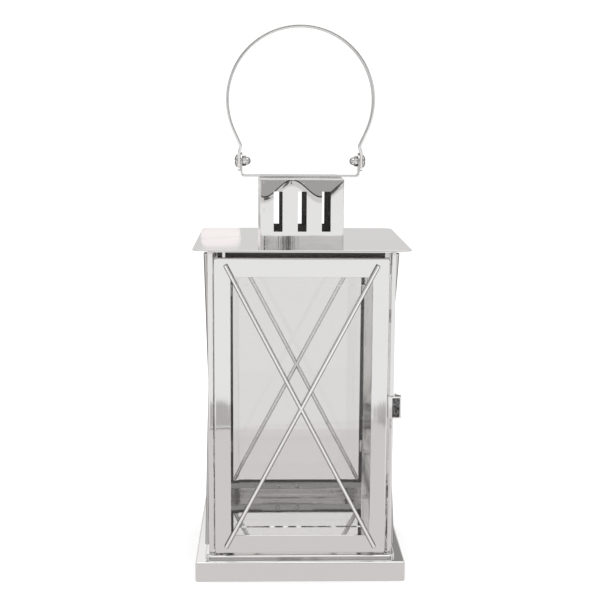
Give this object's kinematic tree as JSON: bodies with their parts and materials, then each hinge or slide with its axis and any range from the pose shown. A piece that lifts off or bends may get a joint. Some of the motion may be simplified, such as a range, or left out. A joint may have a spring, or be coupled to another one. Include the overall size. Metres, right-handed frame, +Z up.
{
  "type": "candle lantern",
  "caption": "Square polished-steel candle lantern with glazed walls, crossed rods, a hinged front door, a slotted chimney and a swinging bail handle.",
  "frame": {"origin": "centre of the base's underside", "axes": "+Z up; the door faces -Y and its hinge side is toward -X"},
  "size_m": [0.162, 0.162, 0.4205],
  "materials": {
    "polished_steel": "mirror-polished stainless sheet",
    "rod_steel": "bright drawn round rod",
    "fastener_steel": "bright plated",
    "clear_glass": "clear flat pane"
  },
  "bodies": {
    "lantern_body": {"base_tray": "polished_steel", "floor_pan": "polished_steel", "left_panel": "polished_steel", "right_panel": "polished_steel", "back_panel": "polished_steel", "front_top_rail": "polished_steel", "roof_plate": "polished_steel", "chimney_shell": "polished_steel", "chimney_cap": "polished_steel", "handle_bracket": "polished_steel", "left_pivot_screw": "fastener_steel", "right_pivot_screw": "fastener_steel", "left_acorn_nut": "fastener_steel", "right_acorn_nut": "fastener_steel", "top_hinge_pin": "fastener_steel", "bottom_hinge_pin": "fastener_steel", "left_glass": "clear_glass", "right_glass": "clear_glass", "back_glass": "clear_glass", "left_glass_tabs": "polished_steel", "right_glass_tabs": "polished_steel", "back_glass_tabs": "polished_steel", "back_glass_ledge": "polished_steel", "ledge_rivets": "fastener_steel", "left_long_rod": "rod_steel", "left_half_rods": "rod_steel", "right_long_rod": "rod_steel", "right_half_rods": "rod_steel", "back_long_rod": "rod_steel", "back_half_rods": "rod_steel"},
    "door": {"door_frame": "polished_steel", "door_glass": "clear_glass", "door_glass_tabs": "polished_steel", "door_long_rod": "rod_steel", "door_half_rods": "rod_steel", "door_clasp": "polished_steel"},
    "handle": {"handle_strap": "polished_steel"}
  },
  "joints": [
    {"name": "door_hinge", "type": "hinge", "parent": "lantern_body", "child": "door", "pos_m": [-0.058, -0.0665, 0.133], "axis": [0, 0, -1], "range_deg": [0, 100]},
    {"name": "handle_swing", "type": "hinge", "parent": "lantern_body", "child": "handle", "pos_m": [0, 0, 0.3155], "axis": [1, 0, 0], "range_deg": [-90, 90]}
  ]
}
